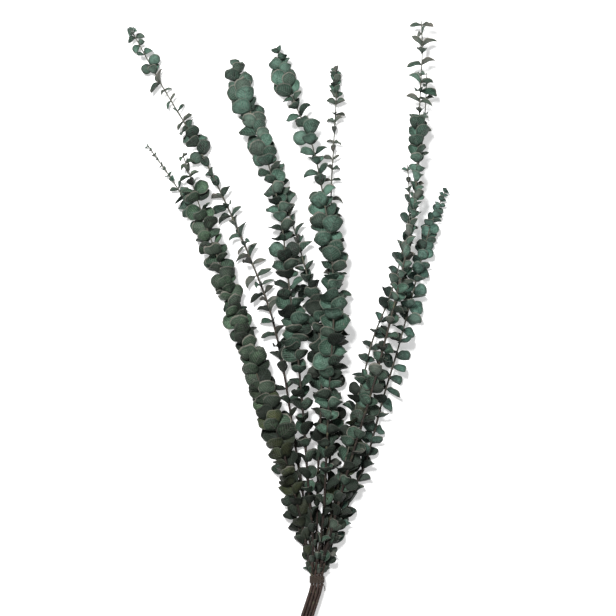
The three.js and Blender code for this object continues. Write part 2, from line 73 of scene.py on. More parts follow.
LOOK_DRAWS = ("shade", "olive", "mauve", "wave", "point", "round", "curl")

# Numbers that only this script has: millimetres, shares, counts and keys of draws.
LEAF_THICKNESS, LOWEST_MIDDLE = 0.36, 0.27
STEEPEST_FOLD, FOLD_ROUNDING, FOLD_LIFT = 1.2, 0.005, 0.07
STEM_STEP, NEAR_LEAVES, NEAR_STEMS = 12.0, 30, 40
TWIG_AT_TIE, TWIG_AT_TIP, TWIG_WAVE = 1.8, 0.6, 0.05
TWIG_SIDES, TWIG_STEP, CLOSEST_RINGS = 10, 5.0, 0.35
NODE_RINGS, NODE_SWELL, NODE_REACH = (-1.6, -0.6, 0, 0.6, 1.6), 0.24, 1.1
KNOB_PLACES, KNOB_SWELL, KNOB_REACH = ((18, 7, 91), (34, 6, 92)), 0.25, 1.3
CUT_SLANT, CUT_DRAW = 0.9, 93
TWINE_RADIUS, TWINE_SUNK, TWINE_SIDES, TWINE_TWIST = 0.62, 0.05, 10, 2.6
TWINE_TURNS, TURN_STEPS, TWINE_START, TWINE_MARGIN = 6.6, 96, 0.62, 0.75
TWINE_WANDER, LOOSE_TWINE, LOOSE_STEP = 0.16, 0.9, 0.5

# How much darker leaves are, as tables of places in millimetres and amounts: by the height above
# the tie, partly older leaves and partly painted shade under the dense foliage near the tie; by the
# depth over the table, painted shade on leaves low in the pile and painted light on the highest;
# and by how much the depth counts at a height.
DARKER = ([0, 35, 70, 140, 300, 420, 560], [0.16, 0.42, 0.58, 0.48, 0.22, 0.02, -0.08])
DARKER_TEAL = ([0, 60, 130, 560], [-0.15, 0.0, 0.25, 0.0])
PAINTED_SHADE_BY_DEPTH = ([6, 18, 32], [0.34, 0.0, -0.18])
DEEP_SHARE = ([150, 400], [1, 0.3])

# How far a leaf's own draw moves its shade, how olive it gets, and how far folded leaves have dried.
SHADE_REACH, SHADE_REACH_LOW = 0.36, 0.3
OLIVE_LOW, OLIVE_FULL = 0.22, 0.85
OLIVE_HEIGHTS = ([0, 60, 180, 260], [0.4, 1.0, 1.0, 0.0])
DRIED, DRIED_FROM, DRIED_RISE = 0.5, 0.7, 0.8

# Each stem: its place in the tie, how far its cut end is below it, how light, olive and mauve its
# leaves are, its route, and its foliage as (height above the tie, leaf length, angle off the stem,
# turn of the faces, distance to the next pair, fold of the leaf in degrees).
STEMS = [
    dict(slot=(1, 0), cut=50, slot_name="leaf_green", light=0.6, olive=0.05, mauve=0.35,
         route=[(-9, 48, 5), (-16, 96, 7), (-29, 180, 9), (-40, 250, 10), (-55, 318, 10),
                (-77, 378, 10), (-109, 451, 10), (-145, 524, 10), (-187, 595, 10), (-223, 660, 9)],
         foliage=[(18, 12, 12, .3, 19, 42), (60, 15, 20, .4, 18, 40), (100, 15, 30, .4, 18, 40),
                  (200, 15, 50, .4, 18, 40), (240, 15, 55, .5, 17, 30), (270, 16, 60, .2, 15, 55),
                  (330, 17, 65, .2, 13, 60), (420, 17, 65, .2, 13, 60), (452, 18, 58, .3, 14, 42),
                  (475, 14, 35, .4, 13, 42), (495, 13, 40, .5, 13, 35), (506, 17, 52, .9, 12, 8),
                  (532, 17, 52, .9, 12, 5), (545, 15, 62, .2, 14, 50), (565, 12, 72, .1, 14, 62),
                  (590, 12, 72, .1, 14, 60), (600, 16, 35, .4, 14, 48), (618, 14, 62, .9, 14, 10),
                  (636, 11, 78, .9, 10, 25), (650, 10, 88, .9, 6, 28), (657, 10, 80, .8, 5, 30)]),
    dict(slot=(0, 0), cut=47, slot_name="leaf_green", light=0.58, olive=0.25, mauve=0.2,
         route=[(-18, 48, 5), (-29, 84, 7), (-48, 168, 10), (-69, 240, 10), (-93, 312, 10),
                (-118, 372, 10), (-143, 430, 9), (-174, 480, 7), (-205, 524, 5)],
         foliage=[(18, 12, 8, .4, 18, 32), (60, 16, 14, .6, 15, 20), (120, 16, 38, .6, 15, 15),
                  (200, 17, 46, .5, 14, 10), (300, 16, 46, .5, 13, 10), (360, 13, 50, .4, 12, 25),
                  (410, 14, 50, .6, 12, 20), (455, 14, 52, .8, 11, 10), (475, 8.5, 45, .4, 9, 30),
                  (500, 4.5, 40, .3, 7, 40), (522, 4.5, 30, .3, 7, 40)]),
    dict(slot=(0, 1), cut=53, slot_name="leaf_olive", light=0.5, olive=0.55, mauve=0.2,
         route=[(-14, 48, 10), (-28, 108, 16), (-50, 186, 22), (-73, 250, 23), (-94, 314, 23),
                (-116, 378, 22), (-136, 434, 20), (-154, 490, 17), (-161, 510, 16)],
         foliage=[(18, 12, 8, .4, 19, 32), (60, 17, 16, .6, 14, 18), (110, 17, 36, .7, 12, 10),
                  (150, 22.5, 42, .9, 11, 0), (185, 20, 42, .8, 9, 5), (250, 19.5, 42, .8, 9, 5),
                  (330, 18, 44, .7, 9, 8), (400, 17.5, 50, .5, 11, 10), (430, 16, 60, .6, 11, 10),
                  (455, 17.5, 60, .7, 11, 10), (475, 14, 70, .3, 10, 35), (490, 12, 78, .2, 9, 45),
                  (510, 8.5, 78, .2, 8, 50)]),
    dict(slot=(0, 2), cut=49, slot_name="leaf_green", light=0.52, olive=0.05, mauve=0.25,
         route=[(-5, 48, 13), (-11, 120, 19), (-17, 204, 22), (-25, 288, 22), (-35, 366, 23),
                (-44, 438, 23), (-58, 498, 22), (-76, 552, 18), (-94, 598, 14), (-97, 615, 13)],
         foliage=[(18, 12, 12, .4, 19, 40), (60, 15, 18, .4, 17, 38), (100, 16, 34, .4, 17, 25),
                  (160, 16.5, 48, .5, 17, 20), (230, 18.5, 52, .6, 14, 12), (280, 20, 54, .7, 11, 5),
                  (350, 20, 54, .7, 10, 5), (390, 17, 56, .6, 12, 12), (450, 17, 58, .6, 12, 15),
                  (480, 17, 54, .6, 11, 12), (500, 19, 42, .8, 8.5, 5), (560, 20, 42, .9, 8.5, 5),
                  (590, 19, 44, .9, 9, 5), (608, 15, 56, .7, 9, 15), (622, 12, 60, .7, 8, 20)]),
    dict(slot=(1, 1), cut=55, slot_name="leaf_green", light=0.6, olive=0.05, mauve=0.35,
         route=[(0, 72, 8), (2, 150, 10), (5, 216, 11), (5, 270, 11), (-2, 324, 11), (-20, 396, 11),
                (-40, 462, 10), (-49, 498, 9)],
         foliage=[(18, 12, 12, .4, 19, 42), (60, 15, 18, .4, 18, 38), (100, 16, 34, .4, 19, 25),
                  (160, 16.5, 48, .5, 18, 20), (230, 18.5, 54, .6, 15, 15),
                  (290, 19.5, 58, .7, 11, 12), (345, 19, 58, .6, 11, 15), (365, 17, 55, .3, 12, 45),
                  (420, 16, 60, .3, 12, 58), (460, 16, 58, .5, 12, 30), (495, 12, 50, .6, 8, 20)]),
    dict(slot=(1, 2), cut=51, slot_name="leaf_green", light=0.54, olive=0.08, mauve=0.15,
         route=[(7, 72, 21), (12, 168, 28), (16, 252, 30), (20, 324, 30), (17, 396, 29),
                (6, 468, 27), (-6, 522, 24), (-24, 566, 20), (-41, 612, 15), (-47, 636, 13)],
         foliage=[(18, 12, 12, .4, 18, 40), (60, 15, 18, .4, 16, 38), (100, 17, 34, .5, 17, 22),
                  (160, 17.5, 48, .6, 16, 15), (230, 18.5, 52, .7, 14, 10), (300, 21, 46, .8, 11, 5),
                  (400, 20.5, 46, .8, 11, 5), (440, 20.5, 46, .8, 11, 5), (470, 16, 60, .4, 12, 35),
                  (490, 17.5, 58, .5, 12, 20), (520, 17.5, 60, .5, 12, 15),
                  (550, 19.5, 52, .8, 11, 5), (565, 15, 65, .3, 9, 35), (575, 13, 60, .3, 8, 35),
                  (582, 20, 42, .9, 8.5, 5), (610, 16, 42, .9, 8, 8), (622, 12, 46, .8, 8, 15),
                  (636, 8, 50, .6, 7, 25)]),
    dict(slot=(2, 0), cut=46, slot_name="leaf_green", light=0.6, olive=0.05, mauve=0.6,
         route=[(12, 84, 7), (17, 180, 10), (20, 252, 12), (25, 312, 12), (22, 384, 11),
                (17, 450, 10), (20, 522, 9), (23, 582, 9), (22, 612, 8)],
         foliage=[(18, 12, 12, .3, 20, 45), (80, 15, 24, .3, 17, 40), (160, 16, 45, .4, 18, 30),
                  (250, 17, 52, .5, 16, 20), (330, 16, 58, .4, 14, 35), (420, 12, 70, .3, 11, 50),
                  (480, 11, 75, .3, 11, 50), (560, 11, 70, .4, 11, 50), (575, 11.5, 50, .6, 8, 20),
                  (600, 10.5, 45, .7, 6, 20), (612, 7, 40, .7, 6, 25)]),
    dict(slot=(2, 1), cut=54, slot_name="leaf_green", light=0.6, olive=0.5, mauve=0.2,
         route=[(11, 48, 13), (24, 108, 20), (38, 160, 25), (49, 222, 25), (56, 242, 24)],
         foliage=[(18, 12, 12, .4, 19, 42), (60, 15, 20, .4, 18, 36), (100, 16, 40, .5, 17, 20),
                  (150, 17, 50, .7, 15, 10), (220, 17, 55, .7, 12, 10), (242, 11, 50, .6, 8, 15)]),
    dict(slot=(3, 1), cut=48, slot_name="leaf_teal", light=0.6, olive=0.0, mauve=0.25,
         route=[(12.5, 48, 7), (24, 96, 9), (40, 168, 11), (54, 234, 11), (67, 288, 11),
                (88, 342, 11), (103, 396, 10), (111, 440, 9), (109, 498, 8)],
         foliage=[(18, 12, 12, .4, 20, 45), (80, 15, 14, .4, 18, 38), (130, 14, 40, .5, 20, 25),
                  (230, 14, 62, .5, 19, 20), (300, 14, 62, .5, 17, 20), (370, 15, 46, .7, 13, 20),
                  (395, 15, 26, .4, 12, 42), (440, 13, 24, .3, 12, 45), (470, 9, 45, .4, 12, 40),
                  (498, 8, 45, .4, 10, 40)]),
    dict(slot=(3, 2), cut=52, slot_name="leaf_green", light=0.56, olive=0.05, mauve=0.3,
         route=[(16.5, 48, 12), (34, 108, 15), (55, 192, 20), (68, 242, 21), (85, 300, 21),
                (103, 360, 21), (113, 420, 20), (119, 480, 19), (128, 540, 17), (132, 607, 14)],
         foliage=[(18, 12, 12, .4, 20, 42), (80, 15, 14, .4, 18, 36), (130, 15, 42, .5, 19, 22),
                  (240, 14, 54, .5, 19, 20), (300, 14, 50, .4, 16, 30), (350, 15, 26, .3, 14, 42),
                  (400, 13, 24, .3, 14, 45), (440, 11, 40, .3, 15, 48), (480, 9, 50, .3, 17, 50),
                  (540, 11, 70, .3, 17, 50), (607, 9, 80, .2, 14, 52)]),
    dict(slot=(2, 2), cut=56, slot_name="leaf_green", light=0.6, olive=0.0, mauve=0.4,
         route=[(14, 48, 18), (30, 108, 24), (49, 174, 31), (66, 230, 33), (89, 318, 33),
                (104, 382, 32), (115, 438, 31), (120, 504, 29), (123, 575, 26), (126, 640, 22),
                (125, 670, 20)],
         foliage=[(18, 12, 12, .4, 19, 40), (60, 14, 12, .4, 18, 38), (100, 15, 28, .4, 19, 24),
                  (160, 15, 50, .5, 19, 20), (230, 15, 54, .6, 17, 15), (300, 14, 54, .6, 15, 20),
                  (360, 14, 34, .5, 13, 35), (400, 14, 25, .4, 11, 44), (440, 14, 32, .5, 11, 35),
                  (475, 14, 40, .5, 11, 30), (500, 15, 42, .7, 10, 15), (520, 16, 45, .8, 9, 10),
                  (540, 16, 50, .7, 9, 12), (552, 14, 70, .2, 13, 50), (585, 19, 74, .4, 10, 48),
                  (600, 15, 75, .2, 13, 55), (625, 16, 84, .1, 12, 60), (655, 16, 86, .1, 11, 60),
                  (676, 11, 80, .1, 9, 60)]),
    dict(slot=(3, 0), cut=50, slot_name="leaf_teal", light=0.75, olive=0.0, mauve=0.2,
         route=[(20, 48, 5), (37, 90, 7), (61, 150, 10), (79, 216, 10), (97, 276, 10),
                (113, 336, 10), (127, 390, 9), (139, 432, 8), (155, 468, 6)],
         foliage=[(18, 14, 4, .3, 18, 45), (60, 17, 2, .3, 16, 45), (120, 17, 8, .3, 15, 42),
                  (155, 16, 50, .6, 16, 18), (220, 17, 74, .6, 16, 15), (290, 17.5, 80, .7, 14, 12),
                  (335, 16.5, 66, .7, 11, 12), (360, 15, 42, .8, 8, 10), (395, 14, 40, .8, 7, 10),
                  (420, 12, 40, .8, 6.5, 10), (442, 9, 42, .7, 6, 15), (465, 6, 50, .6, 6, 20)]),
]


HASH_START, HASH_STEP, HASH_STIR, HASH_RANGE = 2166136261, 16777619, 2246822519, 2 ** 32


def chance(*keys):
    """A repeatable random number from 0 to 1, from the whole numbers that name what it's for."""
    value = HASH_START
    for key in keys:
        value = (value ^ key) * HASH_STEP % HASH_RANGE
        value = (value ^ (value >> 15)) * HASH_STIR % HASH_RANGE
        value ^= value >> 13
    return value / HASH_RANGE


def around(centre, reach, roll):
    return centre + reach * (2 * roll - 1)


def unit(vector):
    return vector / np.linalg.norm(vector)


def mix(low, high, share):
    return low + (high - low) * share


# Stems.

def curve_point(points, place):
    """A point on the centripetal curve through the points, at a place from 0 to 1."""
    last = len(points) - 1
    i = min(int(place * last), last - 1)
    w = place * last - i
    p1, p2 = points[i], points[i + 1]
    p0 = points[i - 1] if i > 0 else 2 * p1 - p2
    p3 = points[i + 2] if i + 2 <= last else 2 * p2 - p1
    d0, d1, d2 = (math.sqrt(np.linalg.norm(b - a)) for a, b in ((p0, p1), (p1, p2), (p2, p3)))
    t1 = ((p1 - p0) / d0 - (p2 - p0) / (d0 + d1) + (p2 - p1) / d1) * d1
    t2 = ((p2 - p1) / d1 - (p3 - p1) / (d1 + d2) + (p3 - p2) / d2) * d1
    return p1 + w * (t1 + w * (-3 * p1 + 3 * p2 - 2 * t1 - t2 + w * (2 * p1 - 2 * p2 + t1 + t2)))


def curve_along(points, place):
    step = 1e-4
    return unit(curve_point(points, min(place + step, 1)) - curve_point(points, max(place - step, 0)))


class Run:
    """A stem's run: knots on a smooth curve through its route, with the way along it between them."""

    def __init__(self, stem):
        x = (stem["slot"][0] - (SLOT_COLUMNS - 1) / 2) * SLOT_PITCH
        z = TIE_WALL + TIE_FIT + RADIUS_AT_TIE + stem["slot"][1] * SLOT_PITCH
        start = [(x - LEAN_BELOW_TIE * stem["cut"], -stem["cut"], z),
                 (x, -TIE_LENGTH * TIE_REACH, z), (x, TIE_LENGTH * TIE_REACH, z)]
        self.points = [np.array(point, float) for point in start + stem["route"]]
        stretches = len(self.points) - 1
        self.places = []
        for i in range(stretches):
            pieces = math.ceil(np.linalg.norm(self.points[i + 1] - self.points[i]) / LONGEST_PIECE)
            self.places += [(i + k / pieces) / stretches for k in range(pieces)]
        self.places.append(1.0)
        knots = [curve_point(self.points, place) for place in self.places]
        steps = [0.0] + [np.linalg.norm(b - a) for a, b in zip(knots, knots[1:])]
        self.distances = np.cumsum(steps)
        self.heights = [knot[1] for knot in knots]
        self.length = float(self.distances[-1])

    def height(self, distance):
        return float(np.interp(distance, self.distances, self.heights))

    def frame(self, distance):
        place = float(np.interp(distance, self.distances, self.places))
        along = curve_along(self.points, place)
        right = unit(np.cross(along, UP))
        return {
            "centre": curve_point(self.points, place), "along": along, "right": right,
            "top": np.cross(right, along),
            "radius": mix(RADIUS_AT_TIE, RADIUS_AT_TIP, min(distance / self.length, 1)),
        }


def foliage_at(stem, y):
    """The foliage entry for a height, mixed from those on either side."""
    heights, *columns = zip(*stem["foliage"])
    return [float(np.interp(y, heights, column)) for column in columns]


def leaf_pairs(stem, run, number):
    """The places of the leaf pairs, from the tie to the tip, a quarter turn from each to the next."""
    pairs = []
    distance = stem["cut"] + FIRST_LEAF + FIRST_LEAF_SPREAD * chance(number, DRAW["first"])
    while distance < run.length:
        size, spread, facing, internode, fold = foliage_at(stem, run.height(distance))
        k = len(pairs)
        swing = around(math.pi / 4 * facing, VARY["turn"], chance(number, k, DRAW["turn"]))
        pairs.append({**run.frame(distance), "size": size, "spread": spread, "facing": facing,
                      "fold": fold, "number": k, "turn": math.pi / 2 * (k % 4) + swing,
                      "distance": distance})
        distance += internode * around(1, VARY["internode"], chance(number, k, DRAW["step"]))
    return pairs


def leaf_frame(pair, number, side, swing, tuck, flat):
    """Where one leaf points and faces, bent from its root toward the tip of the stem like a spoon."""
    def roll(key):
        return chance(number, pair["number"], side, DRAW[key])
    turn = pair["turn"] + side * math.pi + swing
    radial = pair["right"] * math.cos(turn) + pair["top"] * math.sin(turn)
    sideways = pair["right"] * (-1 if math.cos(turn) < 0 else 1)
    radial = unit(mix(radial, sideways, flat))
    bend = (around(*BEND, roll("bend")) - DROOP_BY_FOLD * pair["fold"]) * (1 - flat)
    spread_reach = VARY["spread"] + VARY["spread_by_fold"] * pair["fold"]
    sag = (SAG_BELOW + SAG_BY_FOLD * pair["fold"]) * max(0, -radial[1])
    spread = math.radians(around(pair["spread"] * tuck, spread_reach, roll("spread")) + sag)
    spread += math.atan(bend)
    along = pair["along"] * math.cos(spread) + radial * math.sin(spread)
    face = pair["along"] * math.sin(spread) - radial * math.cos(spread)
    level = unit(UP - along * along[2])
    toward = -1 if face @ level + around(0, VARY["side"], roll("side")) < 0 else 1
    twist = MOST_TWIST * max(0, around(pair["facing"], VARY["facing"], roll("facing")))
    face = unit(mix(face, level * toward, mix(twist, 1, flat)))
    across = unit(np.cross(face, along))
    face = np.cross(along, across)
    lean = around(0, VARY["lean"], roll("lean")) * (1 - flat)
    cos, sin = math.cos(lean), math.sin(lean)
    face, across = face * cos + across * -sin, across * cos + face * sin
    length = pair["size"] * around(1, VARY["length"], roll("length"))
    fold = math.radians(pair["fold"] * around(1, VARY["fold"], roll("fold")))
    width = length * around(WIDTH, VARY["width"], roll("width")) * (1 - NARROW_BY_FOLD * pair["fold"])
    return {
        "root": pair["centre"] + radial * max(pair["radius"] - ROOT_DEPTH, LEAST_ROOT_RADIUS),
        "along": along, "across": across, "face": face, "length": length, "bend": bend,
        "width": width * math.cos(fold), "cup": around(*CUP, roll("cup")),
        "fold": math.tan(min(fold, STEEPEST_FOLD)), **{key: roll(key) for key in LOOK_DRAWS},
    }


def leaf_middle(leaf, u, v):
    """Points of a leaf's middle surface, at places along it (0 to 1) and across (-0.5 to 0.5)."""
    lift = leaf["cup"] * leaf["width"] * 2 * v * v + leaf["bend"] * leaf["length"] * u * u
    lift = lift + leaf["fold"] * leaf["width"] * (np.sqrt(v * v + FOLD_ROUNDING) - FOLD_LIFT)
    return (leaf["root"] + np.multiply.outer(u * leaf["length"], leaf["along"])
            + np.multiply.outer(v * leaf["width"], leaf["across"])
            + np.multiply.outer(lift, leaf["face"]))


# Which leaves cross each other: each is tested as ten triangles, and its rim and middle as segments.

COARSE = np.array([(0, 0), (.27, -.38), (.62, -.5), (.92, -.27), (1, 0), (.92, .27), (.62, .5),
                   (.27, .38), (.27, 0), (.62, 0)])
COARSE_FACES = np.array([(0, 1, 8), (1, 2, 9), (1, 9, 8), (2, 3, 9), (3, 4, 9), (4, 5, 9),
                         (5, 6, 9), (6, 7, 8), (6, 8, 9), (7, 0, 8)])
COARSE_EDGES = np.array([(0, 1), (1, 2), (2, 3), (3, 4), (4, 5), (5, 6), (6, 7), (7, 0),
                         (0, 8), (8, 9), (9, 4)])


def crossings(starts, ends, corners):
    """How many segments pass through how many triangles."""
    if not len(starts) or not len(corners):
        return 0
    a, b, c = corners[:, 0], corners[:, 1], corners[:, 2]
    edge1, edge2 = b - a, c - a
    way = (ends - starts)[:, None]
    p = np.cross(way, edge2[None])
    det = np.einsum("stk,tk->st", p, edge1)
    det = np.where(np.abs(det) < 1e-9, np.inf, det)
    reach = starts[:, None] - a[None]
    u = np.einsum("stk,stk->st", reach, p) / det
    q = np.cross(reach, edge1[None])
    v = np.einsum("stk,stk->st", np.broadcast_to(way, q.shape), q) / det
    t = np.einsum("stk,tk->st", q, edge2) / det
    inside = (u > 0) & (v > 0) & (u + v < 1) & (t > 0) & (t < 1)
    return int(np.count_nonzero(inside & np.isfinite(det)))


class Crowd:
    """Leaves that already have their place, and the stems' segments."""

    def __init__(self, runs):
        self.centres = np.zeros((0, 3))
        self.points = np.zeros((0, len(COARSE), 3))
        starts, ends, owners = [], [], []
        for number, run in enumerate(runs):
            line = [run.frame(d)["centre"] for d in np.arange(0, run.length, STEM_STEP)]
            starts += line[:-1]
            ends += line[1:]
            owners += [number] * (len(line) - 1)
        self.starts, self.ends, self.owners = map(np.array, (starts, ends, owners))

    def count(self, points, number):
        """How often a leaf crosses the leaves and other stems near it."""
        centre = points.mean(axis=0)
        others = self.points[np.linalg.norm(self.centres - centre, axis=1) < NEAR_LEAVES]
        mine, edges = points[COARSE_FACES], points[COARSE_EDGES]
        found = crossings(edges[:, 0], edges[:, 1], others[:, COARSE_FACES].reshape(-1, 3, 3))
        theirs = others[:, COARSE_EDGES].reshape(-1, 2, 3)
        found += crossings(theirs[:, 0], theirs[:, 1], mine)
        close = np.linalg.norm(self.starts - centre, axis=1) < NEAR_STEMS
        close &= self.owners != number
        return found + crossings(self.starts[close], self.ends[close], mine)

    def add(self, points):
        self.points = np.concatenate([self.points, points[None]])
        self.centres = np.concatenate([self.centres, points.mean(axis=0)[None]])


ATTITUDES = [(swing, tuck, flat) for swing in (0, .6, -.6, 1.2, -1.2, 2, -2, 2.8) for tuck in (1, .5)
             for flat in (0, .3, .6, 1)]


def settle(pair, number, side, crowd):
    """The first attitude in which a leaf clears the table and all others, or the one that crosses
    least. There is none where no attitude clears the table or lies flat on it."""
    best, fewest = None, math.inf
    for attitude in ATTITUDES:
        leaf = leaf_frame(pair, number, side, *attitude)
        points = leaf_middle(leaf, COARSE[:, 0], COARSE[:, 1])
        lowest = points[:, 2].min() - HALF_SOLID_BLADE
        pressed = lowest > -DEEPEST_PRESS and abs(leaf["face"][2]) > LEVEL_ENOUGH
        if lowest < PRESS_REACH and not pressed:
            continue
        points[:, 2] = np.maximum(points[:, 2], LEAF_THICKNESS / 2)
        found = crowd.count(points, number)
        if found < fewest:
            best, fewest, kept = leaf, found, points
        if found == 0:
            break
    if best is not None:
        crowd.add(kept)
    return best, fewest


# Leaf meshes. These are shares of a leaf's length, width or thickness.

OUTLINE_POWER, OUTLINE_SPREAD, WIDTH_AT_ROOT, WIDTH_GAIN = 0.86, 0.2, 0.9, 0.17
LEAST_AT_ROOT, LEAST_AT_TIP, TIP_POINT, HEART = 0.055, 0.012, 0.05, 0.4
RUFFLE, RUFFLE_SPREAD, DENT, CURL, FLAT_TIPS, CREASE = 0.035, 0.05, 0.022, 0.34, 0.45, 0.06
MIDRIB, MIDRIB_WIDTH = 0.5, 0.035


def ripple(angle, *waves):
    """A sum of waves round a leaf, each with its height, how many go round, and its start."""
    return sum(height * np.sin(count * angle + start) for height, count, start in waves)


class Template:
    """A grid over a leaf, as two faces joined along their rim."""

    def __init__(self, rows, columns):
        self.s = np.repeat(np.linspace(0, 1, rows + 1), columns + 1)
        self.q = np.tile(np.linspace(-1, 1, columns + 1), rows + 1)
        self.count = count = (rows + 1) * (columns + 1)

        def at(row, column):
            return row * (columns + 1) + column
        top = [(at(r, c), at(r, c + 1), at(r + 1, c + 1), at(r + 1, c))
               for r in range(rows) for c in range(columns)]
        under = [tuple(count + i for i in reversed(face)) for face in top]
        loop = ([at(0, c) for c in range(columns)] + [at(r, columns) for r in range(rows)]
                + [at(rows, c) for c in range(columns, 0, -1)]
                + [at(r, 0) for r in range(rows, 0, -1)])
        rim = [(a, count + a, count + b, b) for a, b in zip(loop, loop[1:] + loop[:1])]
        self.faces = np.array(top + under + rim)

    def outline(self, leaf):
        """Places along and across the leaf, with its own roundness and a small point at its tip."""
        u = 0.5 * (1 - np.cos(math.pi * self.s))
        power = OUTLINE_POWER + OUTLINE_SPREAD * leaf["round"]
        half = 0.5 * np.sin(math.pi * self.s) ** power * (WIDTH_AT_ROOT + WIDTH_GAIN * u)
        half = np.maximum(half, np.where(self.s < 0.5, LEAST_AT_ROOT, LEAST_AT_TIP))
        u = np.where(self.s > 0.999, 1.0 + TIP_POINT * leaf["point"], u)
        return u, self.q * half

    def grow(self, leaf):
        """The leaf's points in millimetres and its place attribute, for its top and its underside."""
        u, v = self.outline(leaf)
        rim = np.hypot(2 * u - 1, 2 * v)
        angle = np.arctan2(v, u - HEART)
        turn1, turn2, turn3 = 6.3 * leaf["wave"], 17 * leaf["wave"], 29 * leaf["curl"]
        notches = ripple(angle, (0.012, 3, turn3), (0.014, 5, turn1), (0.012, 8, turn2))
        reach = 1 + notches * np.clip(4 * u, 0, 1) * rim
        u, v = HEART + (u - HEART) * reach, v * reach
        middle = leaf_middle(leaf, u, v)
        waves = ripple(angle, (0.55, 3, turn1), (0.45, 5, turn2))
        ruffle = (RUFFLE + RUFFLE_SPREAD * leaf["wave"]) * waves * rim ** 2.5
        dents = DENT * np.sin(7 * u + turn2) * np.cos(9 * v + turn3) * np.clip(4 * u, 0, 1)
        curl = CURL * (leaf["curl"] - FLAT_TIPS) * np.maximum(u - 0.5, 0) ** 2 * 4
        lift = ruffle + dents + curl + CREASE * np.abs(v)
        middle = middle + np.multiply.outer(leaf["length"] * lift, leaf["face"])
        middle[:, 2] = np.maximum(middle[:, 2], LOWEST_MIDDLE)
        midrib = MIDRIB * np.exp(-(v / MIDRIB_WIDTH) ** 2) * (1 - u)
        shift = np.multiply.outer(LEAF_THICKNESS / 2 * (1 + midrib), leaf["face"])
        points = np.concatenate([middle + shift, middle - shift])
        points[:, 2] = np.maximum(points[:, 2], 0)
        place = np.stack([2 * v, u, rim], axis=1)
        return points, np.concatenate([place, place])


LARGE, SMALL = Template(12, 8), Template(8, 6)
LARGE_LEAF = 13.0
SHARP_ANGLE = 50


def add_object(name, data):
    made = bpy.data.objects.new(name, data)
    bpy.context.scene.collection.objects.link(made)
    return made


def mesh_object(name, points, faces, attributes, materials, face_material=None):
    """An object from points in millimetres from the tie, with attributes of 3 or 4 numbers a point."""
    mesh = bpy.data.meshes.new(name)
    metres = points * MM + origin
    mesh.vertices.add(len(points))
    mesh.vertices.foreach_set("co", metres.ravel())
    sizes = np.array([len(face) for face in faces])
    mesh.loops.add(int(sizes.sum()))
    mesh.loops.foreach_set("vertex_index", np.concatenate([np.asarray(face) for face in faces]))
    mesh.polygons.add(len(faces))
    mesh.polygons.foreach_set("loop_start", np.concatenate([[0], np.cumsum(sizes)[:-1]]))
    if face_material is not None:
        mesh.polygons.foreach_set("material_index", face_material)
    mesh.update(calc_edges=True)
    mesh.validate()
    for key, values in attributes.items():
        kind, part = ("FLOAT_VECTOR", "vector") if values.shape[1] == 3 else ("FLOAT_COLOR", "color")
        mesh.attributes.new(key, kind, "POINT").data.foreach_set(part, values.ravel())
    mesh.shade_smooth()
    mesh.set_sharp_from_angle(angle=math.radians(SHARP_ANGLE))
    for material in materials:
        mesh.materials.append(material)
    made = add_object(name, mesh)
    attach(made, "root")
    return made


def leaf_tint(leaf, stem):
    """A leaf's tint: how light it is, darker for older leaves and painted shade near the tie and for
    painted shade low in the pile, how olive, 0 for its top side, and how mauve.
    """
    height, depth = leaf["root"][1:]
    # Darker near the tie: partly older leaves, partly painted shade under the dense foliage.
    low = np.interp(height, *(DARKER_TEAL if stem["slot_name"] == "leaf_teal" else DARKER))
    # Painted shade on leaves low in the pile, painted light on the highest ones.
    painted_depth_shade = np.interp(depth, *PAINTED_SHADE_BY_DEPTH) * np.interp(height, *DEEP_SHARE)
    reach = SHADE_REACH + SHADE_REACH_LOW * max(low, 0)
    light = stem["light"] - low - painted_depth_shade + reach * (leaf["shade"] - 0.5) * 2
    dried = DRIED * np.clip((leaf["fold"] - DRIED_FROM) / DRIED_RISE, 0, 1)
    mauve = stem["mauve"] + dried + leaf["mauve"] - 0.5
    return np.clip([light, olive_amount(stem, leaf) + OLIVE_LOW * low, 0, mauve], 0, 1)


def olive_amount(stem, leaf):
    """Some leaves low on the olive stems are wholly olive."""
    low = np.interp(leaf["root"][1], *OLIVE_HEIGHTS)
    return float(np.clip((leaf["olive"] - 1 + stem["olive"] * low) * 4, 0, 1)) * OLIVE_FULL


def leaves_object(name, leaves, stem, materials):
    points, faces, places, tints = [], [], [], []
    total = 0
    for leaf in leaves:
        template = LARGE if leaf["length"] > LARGE_LEAF else SMALL
        grown, place = template.grow(leaf)
        points.append(grown)
        faces.append(template.faces + total)
        places.append(place)
        total += len(grown)
        tint = np.tile(leaf_tint(leaf, stem), (len(grown), 1))
        tint[template.count:, 2] = 1
        tints.append(tint)
    attributes = {"leaf_place": np.concatenate(places), "leaf_tint": np.concatenate(tints)}
    return mesh_object(name, np.concatenate(points), np.concatenate(faces), attributes, materials)


# Tubes: stems and twine.

def tube(centres, rights, tops, outline):
    """A closed tube: outline(i) gives the (across, up) places of ring i, in millimetres."""
    rings = []
    for i, centre in enumerate(centres):
        across, up = outline(i).T
        rings.append(centre + np.multiply.outer(across, rights[i]) + np.multiply.outer(up, tops[i]))
    sides = len(rings[0])
    last = (len(rings) - 1) * sides
    faces = [(i + k, i + (k + 1) % sides, i + sides + (k + 1) % sides, i + sides + k)
             for i in range(0, last, sides) for k in range(sides)]
    faces += [tuple(reversed(range(sides))), tuple(range(last, last + sides))]
    return np.concatenate(rings), faces


def circle(sides, radius):
    angle = np.arange(sides) * 2 * math.pi / sides
    return np.stack([np.cos(angle) * radius, np.sin(angle) * radius], axis=1)


def twig_marks(nodes, length):
    """Distances of a twig's rings: even, closer at each node, and two that round its tip."""
    marks = [0.0, 0.5, *np.arange(4.0, length, TWIG_STEP)]
    marks += [node + step for node in nodes for step in NODE_RINGS]
    marks = np.array(sorted(m for m in set(np.round(marks, 2)) if 0 <= m < length - 0.4))
    marks = marks[np.concatenate([[True], np.diff(marks) > CLOSEST_RINGS])]
    return np.concatenate([marks, [length - 0.3, length + 0.5]])


